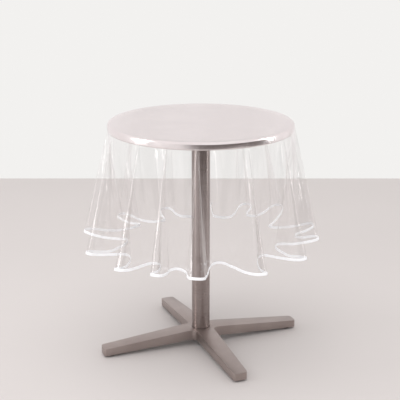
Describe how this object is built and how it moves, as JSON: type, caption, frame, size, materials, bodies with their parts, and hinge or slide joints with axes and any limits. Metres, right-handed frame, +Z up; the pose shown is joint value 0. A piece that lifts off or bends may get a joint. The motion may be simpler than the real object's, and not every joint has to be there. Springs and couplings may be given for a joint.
{
  "type": "tablecloth on a table",
  "caption": "Round clear plastic tablecloth with a white bound edge, draped in deep folds over a pedestal cafe table with a metal-clad top, round column and cast cross base.",
  "frame": {"origin": "on the column's axis at the floor", "axes": "+Z up, +X to the viewer's right and +Y away from the viewer, who faces the front of the table"},
  "size_m": [0.7833, 0.8032, 0.7608],
  "materials": {
    "clear_film": "gloss",
    "white_tape": "matte",
    "satin_steel": "satin",
    "chipboard": "matte",
    "laminate": "matte",
    "black_iron": "matte",
    "taupe_metal": "satin",
    "taupe_cast": "satin",
    "zinc": "satin",
    "black_plastic": "matte"
  },
  "bodies": {
    "table": {"tabletop_sheet": "satin_steel", "tabletop_core": "chipboard", "tabletop_backer": "laminate", "spider_plate": "black_iron", "spider_screw_1": "zinc", "spider_screw_2": "zinc", "spider_screw_3": "zinc", "spider_screw_4": "zinc", "column_tube": "taupe_metal", "tie_rod": "zinc", "base_casting": "taupe_cast", "rod_washer": "zinc", "rod_nut": "zinc"},
    "cloth": {"cloth_film": "clear_film", "cloth_binding": "white_tape"},
    "glide_1": {"glide_stud_1": "zinc", "glide_pad_1": "black_plastic"},
    "glide_2": {"glide_stud_2": "zinc", "glide_pad_2": "black_plastic"},
    "glide_3": {"glide_stud_3": "zinc", "glide_pad_3": "black_plastic"},
    "glide_4": {"glide_stud_4": "zinc", "glide_pad_4": "black_plastic"}
  },
  "joints": [
    {"name": "cloth_lift", "type": "slide", "parent": "table", "child": "cloth", "axis": [0, 0, 1], "range_m": [0, 0.45]},
    {"name": "glide_1_height", "type": "slide", "parent": "table", "child": "glide_1", "axis": [0, 0, -1], "range_m": [0, 0.01]},
    {"name": "glide_2_height", "type": "slide", "parent": "table", "child": "glide_2", "axis": [0, 0, -1], "range_m": [0, 0.01]},
    {"name": "glide_3_height", "type": "slide", "parent": "table", "child": "glide_3", "axis": [0, 0, -1], "range_m": [0, 0.01]},
    {"name": "glide_4_height", "type": "slide", "parent": "table", "child": "glide_4", "axis": [0, 0, -1], "range_m": [0, 0.01]}
  ]
}
